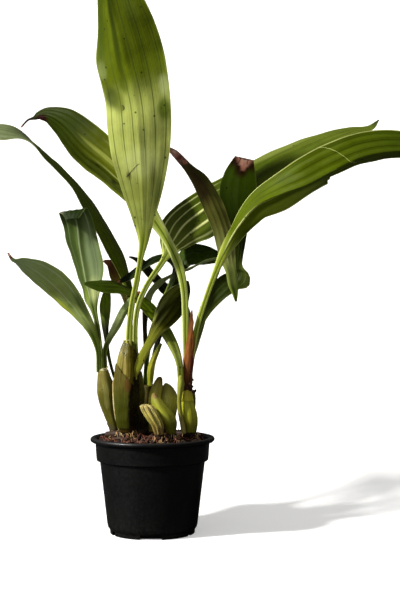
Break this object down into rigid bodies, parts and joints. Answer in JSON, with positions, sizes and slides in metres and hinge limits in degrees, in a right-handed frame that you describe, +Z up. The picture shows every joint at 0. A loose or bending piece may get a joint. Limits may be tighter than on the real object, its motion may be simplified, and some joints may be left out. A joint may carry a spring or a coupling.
{
  "type": "potted coelogyne orchid",
  "caption": "Orchid in leaf with ribbed pseudobulbs and long pleated leaves, in a round black nursery pot filled with bark.",
  "frame": {"origin": "middle of the pot's underside, on the surface it stands on", "axes": "+Z up along the pot's axis, +X to the right as in the picture, +Y to the rear"},
  "size_m": [0.5142, 0.1765, 0.5668],
  "materials": {
    "pot_plastic": "satin near-black moulded plastic",
    "bark": "matt damp bark chips",
    "root": "matt dry root",
    "bulb_green": "waxy, lengthwise ribs",
    "bulb_olive": "glossy, lengthwise ribs",
    "bulb_dry": "shrivelled, deep ribs",
    "sheath_green": "satin leaf sheath",
    "sheath_dry": "papery dry sheath",
    "leaf_light": "satin pleated leaf",
    "leaf_green": "satin pleated leaf",
    "leaf_grey": "satin pleated leaf",
    "leaf_dark": "satin pleated leaf"
  },
  "bodies": {
    "root": {"pot": "pot_plastic", "substrate": "bark", "rhizome_and_roots": "root", "pseudobulb_left": "bulb_green", "pseudobulb_centre": "bulb_olive", "pseudobulb_back": "bulb_olive", "pseudobulb_finger": "bulb_green", "pseudobulb_front": "bulb_green", "pseudobulb_short": "bulb_green", "pseudobulb_shrivelled": "bulb_dry", "pseudobulb_right": "bulb_green", "pseudobulb_rear_left": "bulb_olive", "pseudobulb_rear_centre": "bulb_olive", "pseudobulb_rear_right": "bulb_olive", "sheath_brown": "sheath_dry", "sheath_left": "sheath_green", "sheath_new_growth": "sheath_green", "bract_centre": "sheath_green", "bract_left": "sheath_dry", "bract_right": "sheath_dry", "leaf_centre_tall": "leaf_light", "leaf_upper_left": "leaf_green", "leaf_far_left": "leaf_dark", "leaf_left_folded": "leaf_grey", "leaf_lower_left": "leaf_grey", "leaf_inner_left": "leaf_dark", "leaf_inner_right": "leaf_dark", "leaf_low_crossing": "leaf_dark", "leaf_small_dark": "leaf_dark", "leaf_narrow_young": "leaf_light", "leaf_rear_left": "leaf_dark", "leaf_dark_pointed": "leaf_dark", "leaf_dark_kinked": "leaf_dark", "leaf_upper_right": "leaf_green", "leaf_right_long": "leaf_light", "leaf_new_growth": "leaf_green", "shoot_young": "leaf_light", "leaf_rear_thin": "leaf_grey", "leaf_rear_right": "leaf_dark"}
  },
  "joints": []
}
